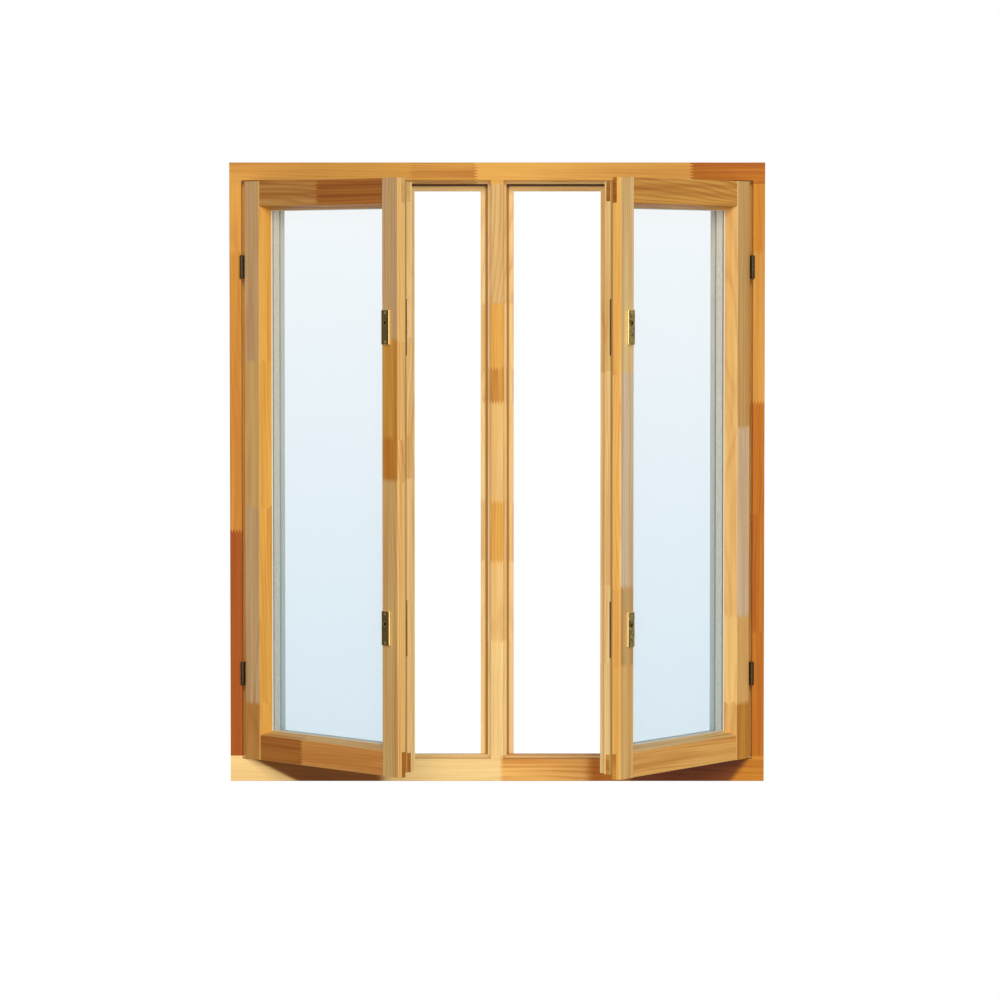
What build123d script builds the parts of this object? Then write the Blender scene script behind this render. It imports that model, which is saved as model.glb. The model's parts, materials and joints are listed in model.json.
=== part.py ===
from build123d import *
import math
import os

# Two-light casement window in laminated pine, millimetres.
# +X right and +Z up as seen from the room, the room on the -Y side.
# The origin is the centre of the sill's underside.  Both sashes are built closed
# and then turned open about their hinge pins, which is how the window is drawn.

# --- frame -----------------------------------------------------------------
FRAME_WIDTH = 1200.0
FRAME_HEIGHT = 1390.0
FRAME_DEPTH = 90.0
JAMB_FACE = 27.0  # front land of a jamb
HEAD_FACE = 40.5  # front land of the head
SILL_FACE = 50.5  # front land of the sill
MULLION_FACE = 29.0  # front land of the mullion
LIP_RECESS = 23.0  # depth of the recess that takes the sash lip
LAND = 7.0  # width of the second land, behind the lip
STOP_SETBACK = 50.0  # depth of the stop face behind the room face
STOP_PROJECTION = 15.5
SILL_FALL = 4.8  # drop of the weathered sill from the stop line to the back
FRAME_TENON = 25.0
FRAME_TENON_FRONT = 30.0
FRAME_TENON_BACK = 46.0
TENON_INSET = 3.0  # the frame's tenons lie this far inside their members' sides
ARRIS = 1.5  # rounding of the frame's edges
FIXING_FROM_END = 250.0  # wall fixing holes, from the head's top and the sill's underside
FIXING_SETBACK = 36.5
FIXING_RADIUS = 4.0
COPE = 1.0  # uprights run this far below the sill's slope before they are cut to it
OVERCUT = 1.0  # how far a cutting block stands out of the wood

# --- sashes ----------------------------------------------------------------
LIP_GAP = 2.0  # between the sash lip and the frame's front land
BODY_GAP = 4.0  # between the sash body and the frame behind the lip
LIP_THICKNESS = 20.0
BODY_BACK = 46.0  # back of the sash body, which meets the stop seal
SASH_THICKNESS = 66.0
MEMBER_FACE = 55.0  # front face of stiles and rails
BEVEL = 9.5  # how far the inner bevel comes in over its depth
BEVEL_DEPTH = 28.0
GLASS_SETBACK = 30.0
GLAZING_COVER = 13.0  # from the bevel's nose to the glazing rebate's wall
RAIL_SETBACK = 1.5  # rail faces lie behind the stile faces
STILE_ARRIS = 3.0
RAIL_ARRIS = 1.5
TENON_BANDS = ((10.0, 20.0), (32.0, 42.0))  # depth bands of the double through tenon
OPEN_LEFT = 50.4  # degrees each sash stands open
OPEN_RIGHT = 57.0

# --- glazing ---------------------------------------------------------------
PANE = 4.0
CAVITY = 16.0
SPACER_WIDTH = 6.5
SEALANT_WIDTH = 4.0
BLOCK_THICKNESS = 3.0  # setting blocks, which is also the gap round the glass
BLOCK_LENGTH = 80.0
BLOCK_SETBACK = 1.0  # from the glazing's faces
BLOCK_PITCH = 0.5  # spacing of a pair of blocks, as a share of that side of the glass
BEAD_WIDTH = 14.5
BEAD_SLOPE = 2.0
BEAD_ROUND = 1.5

# --- hinges ----------------------------------------------------------------
HINGE_FROM_END = 191.0  # from the sash's top and bottom
HINGE_HEIGHT = 52.0
KNUCKLE_RADIUS = 5.0
KNUCKLE_CLEAR = 0.5  # between the knuckle and the room face
KNUCKLE_ROUND = 1.5
KNUCKLE_CAP = 2.0  # solid end beyond the bore
PIN_RADIUS = 3.0
PIN_RUNNING = 0.05
PIN_END_GAP = 1.5  # between the pin's top and the bore's end
COLLAR = 1.0
COLLAR_CLEAR = 0.1
LEAF_THICKNESS = 2.0
LEAF_DEPTH = 18.0
LEAF_START = 0.3
HINGE_SCREW_SPREAD = 17.0
HINGE_SCREW_SETBACK = 10.0

# --- catches ---------------------------------------------------------------
CATCH_FROM_END = 322.0  # from the sash's top and bottom to each plate's centre
PLATE_WIDTH = 27.0
PLATE_HEIGHT = 76.0
PLATE_THICKNESS = 5.0
PLATE_MARGIN = 3.0  # from the plate to the stile's inner edge
PLATE_ROUND = 2.0
PLATE_EDGE_ROUND = 1.8
PLATE_SCREW_SPREAD = 31.5
HUB_RADIUS = 6.5
HUB_RISE = 9.5  # hub above the plate's centre
HUB_PROUD = 0.6
HUB_SQUARE = 7.0
HUB_BORE_CLEAR = 0.5  # radial clearance in the wood behind the plate
TURN_CLEAR = 0.3  # radial clearance round the turning hub
KERF_LENGTH = 122.0  # saw-cut slot on the stile's edge
KERF_FRONT = 29.0
KERF_WIDTH = 4.2
KERF_WOOD = 2.2  # wood left between the slot and the glazing rebate
CASE_CLEAR = 0.1
CASE_WALL = 0.8
CASE_EDGE = 0.4  # the case lies this far inside the stile's edge
CASE_FIT = 0.3  # between the case and the slot's round bottom
TONGUE_HEIGHT = 30.0
TONGUE_CLEAR = 0.3
TONGUE_INSET = 0.8  # retracted tongue behind the stile's edge
TONGUE_ROUND = 2.0
BAR_HEIGHT = 7.2
BAR_CLEAR = 0.4  # between the tongue's bar and the hub
SHOULDER_CLEAR = 0.7  # between the tongue's wide part and the hub
FINGER_REACH = 8.6  # hub axis to the centre of the finger's round tip
FINGER_TIP = 1.8
FINGER_NECK = 3.0
FINGER_ANGLE = 45.0  # below the tongue's line at each end of its travel
FINGER_CLEAR = 0.5  # past the finger's tip
NOTCH_HALF = 2.5
NOTCH_WALL = 1.2

# --- strikes, seals and screws ---------------------------------------------
STRIKE_HEIGHT = 54.0
STRIKE_WIDTH = 13.2
STRIKE_THICKNESS = 1.5
STRIKE_SLOT = 3.8
STRIKE_MORTISE = 12.0
STRIKE_CORNER = 2.0
STRIKE_CLEAR = 1.5  # above and below the tongue
STRIKE_SCREW_SPREAD = 22.3
SEAL_WIDTH = 5.0
SEAL_CLEAR = 0.3
STOP_SEAL_ROUND = 1.5
SILL_SEAL_ROUND = 1.0
FITTING_SCREW = (3.2, 1.75, 18.0)  # head radius, shank radius, length
STRIKE_SCREW = (3.0, 1.5, 14.0)
FRAME_SCREW = (5.5, 2.5, 95.0)
FRAME_SCREW_SETBACKS = (14.0, 74.0)
CROSS_RECESS = (1.1, 0.7, 0.8)  # length as a share of the head's radius, width, depth
EDGE_REACH = 0.01  # how near an edge has to pass to be the one named

# --- places worked out from the sizes above --------------------------------
FRONT = -FRAME_DEPTH / 2
HALF_WIDTH = FRAME_WIDTH / 2
JAMB_EDGE = HALF_WIDTH - JAMB_FACE
JAMB_WALL = JAMB_EDGE - LAND
HALF_MULLION = MULLION_FACE / 2
MULLION_WALL = HALF_MULLION + LAND
HEAD_EDGE = FRAME_HEIGHT - HEAD_FACE
HEAD_WALL = HEAD_EDGE - LAND
SILL_WALL = SILL_FACE + LAND

SASH_HINGE = -(JAMB_EDGE - LIP_GAP)  # the left sash's lip edges, closed
SASH_LOCK = -(HALF_MULLION + LIP_GAP)
SASH_BOTTOM = SILL_FACE + LIP_GAP
SASH_TOP = HEAD_EDGE - LIP_GAP
BODY_INSET = LAND + BODY_GAP - LIP_GAP
BACK_INSET = BODY_INSET + STOP_PROJECTION
NOSE = MEMBER_FACE + BEVEL
REBATE = NOSE - GLAZING_COVER
GLASS_BACK = GLASS_SETBACK + 2 * PANE + CAVITY

AXIS_X = -(JAMB_EDGE - LIP_GAP / 2)
AXIS_SETBACK = -(KNUCKLE_RADIUS + KNUCKLE_CLEAR)
HINGE_HEIGHTS = (SASH_BOTTOM + HINGE_FROM_END, SASH_TOP - HINGE_FROM_END)
CATCH_HEIGHTS = (SASH_BOTTOM + CATCH_FROM_END, SASH_TOP - CATCH_FROM_END)
LEVELS = ("lower", "upper")

PLATE_CENTRE = MEMBER_FACE - PLATE_MARGIN - PLATE_WIDTH / 2
TONGUE_MIDDLE = KERF_FRONT + KERF_WIDTH / 2
TONGUE_THICKNESS = KERF_WIDTH - 2 * (CASE_CLEAR + CASE_WALL + TONGUE_CLEAR)
FINGER_STEP = FINGER_REACH * math.sin(math.radians(FINGER_ANGLE))
TONGUE_TRAVEL = 2 * FINGER_STEP


def depth(setback):
    """Y of a plane that lies a given distance behind the room face."""
    return FRONT + setback


def box(x_range, y_range, z_range):
    """A block between three pairs of limits, given in either order."""
    middle = [(low + high) / 2 for low, high in (x_range, y_range, z_range)]
    size = [abs(high - low) for low, high in (x_range, y_range, z_range)]
    return Pos(*middle) * Box(*size)


def rod(radius, start, end):
    """A round bar from one point to another."""
    start, end = Vector(*start), Vector(*end)
    along = end - start
    return Plane((start + end) / 2, z_dir=along) * Cylinder(radius, along.length)


def outline(points):
    """A closed face through (x, y) or (x, y, corner radius) points."""
    face = make_face(Polyline(*[point[:2] for point in points], close=True))
    for point in points:
        if len(point) == 3:
            corner = face.vertices().sort_by_distance(Vector(point[0], point[1], 0))[0]
            face = fillet(corner, point[2])
    return face


def upright(points, bottom, top):
    """A vertical member with the given section in plan."""
    return Pos(0, 0, bottom) * extrude(outline(points), top - bottom)


def lengthwise(points, left, right):
    """A horizontal member with the given (y, z) section."""
    return Pos(left, 0, 0) * extrude(Plane.YZ * outline(points), right - left)


def soften(solid, along, radius, places):
    """Round the edges parallel to one axis that pass through the given places."""
    other = [axis for axis in (Axis.X, Axis.Y, Axis.Z) if axis != along]
    chosen = ShapeList()
    for place in places:
        edges = solid.edges().filter_by(along)
        for axis, value in zip(other, place):
            edges = edges.filter_by_position(axis, value - EDGE_REACH, value + EDGE_REACH)
        chosen += edges
    return fillet(chosen, radius)


def mirrored(shape):
    return mirror(shape, about=Plane.YZ)


def screw_body(kind, head, inward):
    """A countersunk screw with no drive recess: its head's top and its direction."""
    head_radius, shank_radius, length = kind
    sink = head_radius - shank_radius
    start, inward = Vector(*head), Vector(*inward).normalized()
    cone = Cone(shank_radius, head_radius, sink, align=(Align.CENTER, Align.CENTER, Align.MAX))
    shank = Cylinder(shank_radius, length, align=(Align.CENTER, Align.CENTER, Align.MAX))
    return Plane(start, z_dir=inward * -1) * (cone + shank)


def screw(kind, head, inward):
    """The screw with a cross recess in its head."""
    length_share, width, deep = CROSS_RECESS
    start, inward = Vector(*head), Vector(*inward).normalized()
    slot = Box(kind[0] * length_share, width, 2 * deep)
    cross = slot + Rot(0, 0, 90) * slot
    return screw_body(kind, head, inward) - Plane(start, z_dir=inward * -1) * cross


# --- frame members ---------------------------------------------------------
def lip_recess(z_low, z_high):
    """The recess for both sash lips, cut between the jambs' and the mullion's lands."""
    left = box((-JAMB_EDGE, -HALF_MULLION), (FRONT - OVERCUT, depth(LIP_RECESS)), (z_low, z_high))
    return left + mirrored(left)


def frame_screw_places():
    """Head centre and direction of each screw that holds the frame's corners."""
    places = []
    front, back = FRAME_SCREW_SETBACKS
    jamb_middle = HALF_WIDTH - JAMB_FACE / 2
    for z, inward in ((0.0, 1.0), (FRAME_HEIGHT, -1.0)):
        for x, setback in ((-1, front), (-1, back), (1, front), (1, back), (0, back)):
            places.append(((x * jamb_middle, depth(setback), z), (0, 0, inward)))
    return places


def frame_tenons():
    """Stub tenons at the ends of both jambs and the mullion."""
    band = (depth(FRAME_TENON_FRONT), depth(FRAME_TENON_BACK))
    tenons = {}
    for name, x_range in (
        ("left", (-HALF_WIDTH + TENON_INSET, -JAMB_EDGE)),
        ("mullion", (-HALF_MULLION + TENON_INSET, HALF_MULLION - TENON_INSET)),
        ("right", (JAMB_EDGE, HALF_WIDTH - TENON_INSET)),
    ):
        low = box(x_range, band, (SILL_WALL - FRAME_TENON, SILL_WALL))
        high = box(x_range, band, (HEAD_WALL, HEAD_WALL + FRAME_TENON))
        tenons[name] = [low, high]
    return tenons


def build_head():
    back = FRONT + FRAME_DEPTH
    stop_foot = HEAD_WALL - STOP_PROJECTION
    head = box((-HALF_WIDTH, HALF_WIDTH), (FRONT, back), (HEAD_WALL, FRAME_HEIGHT))
    head += box((-JAMB_WALL, JAMB_WALL), (depth(STOP_SETBACK), back), (stop_foot, HEAD_WALL))
    head -= lip_recess(HEAD_WALL - OVERCUT, HEAD_EDGE)
    places = [
        (FRONT, HEAD_EDGE), (depth(LIP_RECESS), HEAD_WALL),
        (depth(STOP_SETBACK), stop_foot), (FRONT, FRAME_HEIGHT),
    ]
    return soften(head, Axis.X, ARRIS, places)


def build_sill():
    back = FRONT + FRAME_DEPTH
    sill = box((-HALF_WIDTH, HALF_WIDTH), (FRONT, back), (0, SILL_WALL))
    slope = [
        (depth(STOP_SETBACK), SILL_WALL), (back + OVERCUT, SILL_WALL + OVERCUT),
        (back + OVERCUT, SILL_WALL - SILL_FALL), (back, SILL_WALL - SILL_FALL),
    ]
    sill -= lengthwise(slope, -HALF_WIDTH - OVERCUT, HALF_WIDTH + OVERCUT)
    sill -= lip_recess(SILL_FACE, SILL_WALL + OVERCUT)
    places = [(FRONT, SILL_FACE), (depth(LIP_RECESS), SILL_WALL), (FRONT, 0)]
    return soften(sill, Axis.X, ARRIS, places)


def build_jamb_left():
    back = FRONT + FRAME_DEPTH
    stop_edge = JAMB_WALL - STOP_PROJECTION
    points = [
        (-HALF_WIDTH, FRONT, ARRIS), (-JAMB_EDGE, FRONT, ARRIS),
        (-JAMB_EDGE, depth(LIP_RECESS)), (-JAMB_WALL, depth(LIP_RECESS), ARRIS),
        (-JAMB_WALL, depth(STOP_SETBACK)), (-stop_edge, depth(STOP_SETBACK), ARRIS),
        (-stop_edge, back), (-HALF_WIDTH, back),
    ]
    return upright(points, SILL_WALL - SILL_FALL - COPE, HEAD_WALL)


def build_mullion():
    back = FRONT + FRAME_DEPTH
    stop_edge = MULLION_WALL + STOP_PROJECTION
    right = [
        (HALF_MULLION, FRONT, ARRIS), (HALF_MULLION, depth(LIP_RECESS)),
        (MULLION_WALL, depth(LIP_RECESS), ARRIS), (MULLION_WALL, depth(STOP_SETBACK)),
        (stop_edge, depth(STOP_SETBACK), ARRIS), (stop_edge, back),
    ]
    left = [(-point[0], *point[1:]) for point in reversed(right)]
    return upright(right + left, SILL_WALL - SILL_FALL - COPE, HEAD_WALL)


def fixing_holes():
    """Through holes in the left jamb for the screws that hold the frame in the wall."""
    y = depth(FIXING_SETBACK)
    return [
        rod(FIXING_RADIUS, (-HALF_WIDTH - OVERCUT, y, z), (-JAMB_WALL + OVERCUT, y, z))
        for z in (FIXING_FROM_END, FRAME_HEIGHT - FIXING_FROM_END)
    ]


# --- strikes on the mullion ------------------------------------------------
def strike_blank(z):
    """The left strike's outline block, let in flush with the mullion's side."""
    middle = depth(TONGUE_MIDDLE)
    half = STRIKE_WIDTH / 2
    plate = box(
        (-MULLION_WALL, -MULLION_WALL + STRIKE_THICKNESS),
        (middle - half, middle + half),
        (z - STRIKE_HEIGHT / 2, z + STRIKE_HEIGHT / 2),
    )
    return fillet(plate.edges().filter_by(Axis.X), STRIKE_CORNER)


def strike_slot(z, end):
    """The space that the tongue enters, from the mullion's side inwards."""
    middle, half_height = depth(TONGUE_MIDDLE), TONGUE_HEIGHT / 2 + STRIKE_CLEAR
    return box(
        (-MULLION_WALL - OVERCUT, -MULLION_WALL + end),
        (middle - STRIKE_SLOT / 2, middle + STRIKE_SLOT / 2),
        (z - half_height, z + half_height),
    )


def strike_screw_places(z):
    y = depth(TONGUE_MIDDLE)
    return [
        ((-MULLION_WALL, y, z + side * STRIKE_SCREW_SPREAD), (1, 0, 0)) for side in (-1, 1)
    ]


def build_strike(z):
    plate = strike_blank(z) - strike_slot(z, STRIKE_THICKNESS + OVERCUT)
    for place in strike_screw_places(z):
        plate -= screw_body(STRIKE_SCREW, *place)
    return plate


# --- seals -----------------------------------------------------------------
def build_stop_seal():
    """The left light's seal, round three sides in the corner of the stop."""
    y_range = (depth(BODY_BACK + SEAL_CLEAR), depth(STOP_SETBACK))
    jamb = (-JAMB_WALL, -JAMB_WALL + SEAL_WIDTH)
    mullion = (-MULLION_WALL - SEAL_WIDTH, -MULLION_WALL)
    seal = box((jamb[0], mullion[1]), y_range, (HEAD_WALL - SEAL_WIDTH, HEAD_WALL))
    for x_range in (jamb, mullion):
        seal += box(x_range, y_range, (SILL_WALL, HEAD_WALL))
    face = seal.faces().sort_by(Axis.Y)[0]
    return fillet(face.edges(), STOP_SEAL_ROUND)


def build_sill_seal():
    """The left light's seal behind the bottom of the sash lip."""
    y_range = (depth(LIP_THICKNESS + SEAL_CLEAR), depth(LIP_RECESS))
    seal = box((-JAMB_EDGE, -HALF_MULLION), y_range, (SILL_FACE, SILL_FACE + SEAL_WIDTH))
    return soften(seal, Axis.X, SILL_SEAL_ROUND, [(y_range[0], SILL_FACE + SEAL_WIDTH)])


# --- hinges on the left jamb -----------------------------------------------
def hinge_leaf(z, x_edge, side):
    """A flat hinge leaf let into the frame (side -1) or the sash (side 1)."""
    return box(
        (x_edge, x_edge + side * LEAF_THICKNESS),
        (depth(LEAF_START), depth(LEAF_DEPTH)),
        (z - HINGE_HEIGHT / 2, z + HINGE_HEIGHT / 2),
    )


def hinge_recess(z, x_edge, side):
    """The pocket in the wood for that leaf, open at the room face."""
    return box(
        (x_edge, x_edge + side * LEAF_THICKNESS),
        (FRONT - OVERCUT, depth(LEAF_DEPTH)),
        (z - HINGE_HEIGHT / 2, z + HINGE_HEIGHT / 2),
    )


def hinge_screw_places(z, x_edge, side):
    y = depth(HINGE_SCREW_SETBACK)
    return [
        ((x_edge, y, z + end * HINGE_SCREW_SPREAD), (side, 0, 0)) for end in (-1, 1)
    ]


def build_hinge_half(z, x_edge, side):
    """One half of a lift-off hinge: the lower one is the frame's, the upper the sash's."""
    y = depth(AXIS_SETBACK)
    near = z + side * (COLLAR / 2) + (COLLAR_CLEAR if side > 0 else 0)
    far = z + side * HINGE_HEIGHT / 2
    knuckle = rod(KNUCKLE_RADIUS, (AXIS_X, y, near), (AXIS_X, y, far))
    tip = knuckle.edges().filter_by(GeomType.CIRCLE).sort_by(Axis.Z)[-1 if side > 0 else 0]
    knuckle = fillet(tip, KNUCKLE_ROUND)
    strap = box((x_edge, x_edge + side * LEAF_THICKNESS), (y, depth(LEAF_START)), (near, far))
    half = knuckle + strap + hinge_leaf(z, x_edge, side)
    if side > 0:
        bore = rod(PIN_RADIUS + PIN_RUNNING, (AXIS_X, y, near - OVERCUT), (AXIS_X, y, far - KNUCKLE_CAP))
    else:
        bore = rod(PIN_RADIUS, (AXIS_X, y, near), (AXIS_X, y, far + KNUCKLE_CAP))
    half -= bore
    for place in hinge_screw_places(z, x_edge, side):
        half -= screw_body(FITTING_SCREW, *place)
    return half


def build_hinge_pin(z):
    """The pin fixed in the frame's half, with the collar that carries the sash."""
    y = depth(AXIS_SETBACK)
    reach = HINGE_HEIGHT / 2 - KNUCKLE_CAP
    pin = rod(PIN_RADIUS, (AXIS_X, y, z - reach), (AXIS_X, y, z + reach - PIN_END_GAP))
    return pin + rod(KNUCKLE_RADIUS, (AXIS_X, y, z - COLLAR / 2), (AXIS_X, y, z + COLLAR / 2))


# --- left sash, closed -----------------------------------------------------
def hinge_u(u):
    """X at a distance in from the sash's hinge edge."""
    return SASH_HINGE + u


def lock_u(u):
    """X at a distance in from the sash's lock edge."""
    return SASH_LOCK - u


def sash_block(inset, front, back, bottom_inset=None):
    """The sash's whole outline, drawn in by an inset, between two depths."""
    low = inset if bottom_inset is None else bottom_inset
    return box(
        (hinge_u(inset), lock_u(inset)), (depth(front), depth(back)),
        (SASH_BOTTOM + low, SASH_TOP - inset),
    )


def sash_envelope():
    """The stepped block that every wooden member stays inside."""
    return (
        sash_block(0, 0, LIP_THICKNESS)
        + sash_block(BODY_INSET, LIP_THICKNESS, BODY_BACK)
        + sash_block(BACK_INSET, BODY_BACK, SASH_THICKNESS, BODY_INSET)
    )


def member_section(place, front, arris, back_inset):
    """Section of a stile or rail as (in-plane, y) points; place turns u into in-plane."""
    bevel_start = MEMBER_FACE + BEVEL * front / BEVEL_DEPTH
    points = [
        (0, front, arris), (bevel_start, front, arris), (NOSE, BEVEL_DEPTH),
        (NOSE, GLASS_SETBACK), (REBATE, GLASS_SETBACK), (REBATE, SASH_THICKNESS),
        (back_inset, SASH_THICKNESS),
    ]
    if back_inset > BODY_INSET:
        points += [(back_inset, BODY_BACK), (BODY_INSET, BODY_BACK)]
    points += [(BODY_INSET, LIP_THICKNESS), (0, LIP_THICKNESS)]
    return [(place(point[0]), depth(point[1]), *point[2:]) for point in points]


def build_rail(place, back_inset, stiles):
    """A rail scribed to both stiles, with its double through tenons."""
    section = member_section(place, RAIL_SETBACK, RAIL_ARRIS, back_inset)
    turned = [(y, z, *rest) for z, y, *rest in section]
    overlap = MEMBER_FACE / 2
    blank = lengthwise(turned, hinge_u(overlap), lock_u(overlap)) & sash_envelope()
    for stile in stiles:
        blank -= stile
    tenons = []
    limits = ((0.0, MEMBER_FACE), (BODY_INSET, REBATE))
    for (front, back), (outer, inner) in zip(TENON_BANDS, limits):
        for edge, stile in zip((hinge_u, lock_u), stiles):
            block = box(
                (edge(outer), edge(NOSE)), (depth(front), depth(back)),
                (place(outer), place(inner)),
            )
            tenons.append(block & stile)
    for tenon in tenons:
        blank += tenon
    return blank, tenons


def ring(outer, inner, front, back):
    """A rectangular ring between two insets from the sash's outline."""
    return sash_block(outer, front, back) - sash_block(inner, front - OVERCUT, back + OVERCUT)


def build_beads():
    """Four glazing beads behind the glass: two long side beads, two between them."""
    wide, narrow = REBATE + BEAD_WIDTH, REBATE + BEAD_WIDTH - BEAD_SLOPE
    points = [(REBATE, GLASS_BACK), (wide, GLASS_BACK), (narrow, SASH_THICKNESS, BEAD_ROUND),
              (REBATE, SASH_THICKNESS)]
    bottom, top = SASH_BOTTOM + REBATE, SASH_TOP - REBATE
    sides = [
        upright([(edge(u), depth(w), *rest) for u, w, *rest in points], bottom, top)
        for edge in (hinge_u, lock_u)
    ]
    cross = []
    for start, turn in ((SASH_BOTTOM, 1), (SASH_TOP, -1)):
        section = [(depth(w), start + turn * u, *rest) for u, w, *rest in points]
        bead = lengthwise(section, hinge_u(REBATE), lock_u(REBATE))
        cross.append(bead - sides[0] - sides[1])
    return sides + cross


def build_blocks():
    """Setting blocks that keep the glass clear of the rebate, a pair to a side."""
    y_range = (depth(GLASS_SETBACK + BLOCK_SETBACK), depth(GLASS_BACK - BLOCK_SETBACK))
    edge_out, edge_in = REBATE, REBATE + BLOCK_THICKNESS
    middle_x = (SASH_HINGE + SASH_LOCK) / 2
    middle_z = (SASH_BOTTOM + SASH_TOP) / 2
    spread_x = (lock_u(edge_in) - hinge_u(edge_in)) * BLOCK_PITCH / 2
    spread_z = (SASH_TOP - SASH_BOTTOM - 2 * edge_in) * BLOCK_PITCH / 2
    half = BLOCK_LENGTH / 2
    blocks = []
    for side in (-1, 1):
        x, z = middle_x + side * spread_x, middle_z + side * spread_z
        for low, high in (
            (SASH_BOTTOM + edge_out, SASH_BOTTOM + edge_in),
            (SASH_TOP - edge_in, SASH_TOP - edge_out),
        ):
            blocks.append(box((x - half, x + half), y_range, (low, high)))
        for edge in (hinge_u, lock_u):
            blocks.append(box((edge(edge_out), edge(edge_in)), y_range, (z - half, z + half)))
    return blocks


# --- catches in the left sash's lock stile ---------------------------------
def kerf_disc(z, front, back, shrink=0.0):
    """The round-bottomed slot that a saw leaves, from the stile's edge inwards."""
    deep = REBATE - KERF_WOOD - BODY_INSET
    radius = ((KERF_LENGTH / 2) ** 2 + deep**2) / (2 * deep)
    x = lock_u(BODY_INSET + deep - radius)
    return rod(radius - shrink, (x, depth(front), z), (x, depth(back), z))


def hub_rod(z, radius, front, back):
    x, height = lock_u(PLATE_CENTRE), z + HUB_RISE
    return rod(radius, (x, depth(front), height), (x, depth(back), height))


def cavity_band():
    """Front and back of the space inside the case."""
    front = KERF_FRONT + CASE_CLEAR + CASE_WALL
    return front, KERF_FRONT + KERF_WIDTH - CASE_CLEAR - CASE_WALL


def tongue_band():
    front, back = cavity_band()
    return front + TONGUE_CLEAR, back - TONGUE_CLEAR


def bar_limits(z):
    """Bottom and top of the tongue's bar, which runs under the hub."""
    hub_height = z + HUB_RISE
    top = hub_height - HUB_RADIUS - BAR_CLEAR
    return top - BAR_HEIGHT, top


def notch_centre():
    """Distance in from the lock edge to the notch, with the tongue drawn in."""
    return PLATE_CENTRE + TONGUE_TRAVEL / 2


def tongue_shoulder():
    """Inner end of the tongue's wide part, clear of the hub when drawn in."""
    return PLATE_CENTRE - HUB_RADIUS - SHOULDER_CLEAR


def build_case(z):
    """Thin pressed case that fills the slot and guides the tongue."""
    front, back = KERF_FRONT + CASE_CLEAR, KERF_FRONT + KERF_WIDTH - CASE_CLEAR
    reach = KERF_LENGTH / 2
    bounds = box(
        (lock_u(BODY_INSET + CASE_EDGE), lock_u(REBATE)), (depth(front), depth(back)),
        (z - reach, z + reach),
    )
    case = kerf_disc(z, front, back, CASE_FIT) & bounds
    inner = [depth(value) for value in cavity_band()]
    half = TONGUE_HEIGHT / 2 + TONGUE_CLEAR
    low, high = bar_limits(z)
    case -= box((lock_u(0), lock_u(tongue_shoulder() + TONGUE_CLEAR)), inner, (z - half, z + half))
    case -= box(
        (lock_u(tongue_shoulder()), lock_u(REBATE)), inner,
        (low - TONGUE_CLEAR, high + TONGUE_CLEAR),
    )
    sweep = FINGER_REACH + FINGER_TIP + FINGER_CLEAR
    case -= hub_rod(z, sweep, *cavity_band())
    return case - hub_rod(z, HUB_RADIUS + TURN_CLEAR, front - OVERCUT, cavity_band()[0])


def build_tongue(z):
    """Sliding tongue: a wide bolt end, and a notched bar that the hub's finger drives."""
    y_range = [depth(value) for value in tongue_band()]
    half = TONGUE_HEIGHT / 2
    low, high = bar_limits(z)
    outer, shoulder = BODY_INSET + TONGUE_INSET, tongue_shoulder()
    notch = notch_centre()
    bolt = box((lock_u(outer), lock_u(shoulder)), y_range, (z - half, z + half))
    bolt = soften(bolt, Axis.Y, TONGUE_ROUND, [(lock_u(outer), z - half), (lock_u(outer), z + half)])
    end = notch + NOTCH_HALF + NOTCH_WALL
    bar = box((lock_u(shoulder - OVERCUT), lock_u(end)), y_range, (low, high))
    floor = z + HUB_RISE - FINGER_REACH - FINGER_TIP - FINGER_CLEAR
    gap_edges = (lock_u(notch - NOTCH_HALF), lock_u(notch + NOTCH_HALF))
    gap = box(gap_edges, y_range, (floor, high + OVERCUT))
    return bolt + bar - gap


def build_hub(z):
    """Square-holed hub, with a finger that points down and in while the tongue is in."""
    front, back = tongue_band()
    hub = hub_rod(z, HUB_RADIUS, -PLATE_THICKNESS - HUB_PROUD, back)
    x, height = lock_u(PLATE_CENTRE), z + HUB_RISE
    drop = FINGER_REACH * math.cos(math.radians(FINGER_ANGLE))
    tip = (x - FINGER_STEP, height - drop)
    hub += rod(FINGER_TIP, (tip[0], depth(front), tip[1]), (tip[0], depth(back), tip[1]))
    middle = Pos(x - FINGER_STEP / 2, depth((front + back) / 2), height - drop / 2)
    neck = Box(FINGER_REACH, back - front, FINGER_NECK)
    hub += middle * Rot(0, FINGER_ANGLE - 90, 0) * neck
    half = HUB_SQUARE / 2
    socket = box(
        (x - half, x + half), (depth(-PLATE_THICKNESS - HUB_PROUD - OVERCUT), depth(front - OVERCUT)),
        (height - half, height + half),
    )
    return hub - socket


def plate_screw_places(z):
    x, y = lock_u(PLATE_CENTRE), depth(-PLATE_THICKNESS)
    return [((x, y, z + side * PLATE_SCREW_SPREAD), (0, 1, 0)) for side in (-1, 1)]


def build_plate(z):
    half = PLATE_WIDTH / 2
    plate = box(
        (lock_u(PLATE_CENTRE + half), lock_u(PLATE_CENTRE - half)),
        (depth(-PLATE_THICKNESS), depth(0)), (z - PLATE_HEIGHT / 2, z + PLATE_HEIGHT / 2),
    )
    plate = fillet(plate.edges().filter_by(Axis.Y), PLATE_ROUND)
    plate = fillet(plate.faces().sort_by(Axis.Y)[0].edges(), PLATE_EDGE_ROUND)
    plate -= hub_rod(z, HUB_RADIUS + TURN_CLEAR, -PLATE_THICKNESS - OVERCUT, OVERCUT)
    for place in plate_screw_places(z):
        plate -= screw_body(FITTING_SCREW, *place)
    return plate


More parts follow.
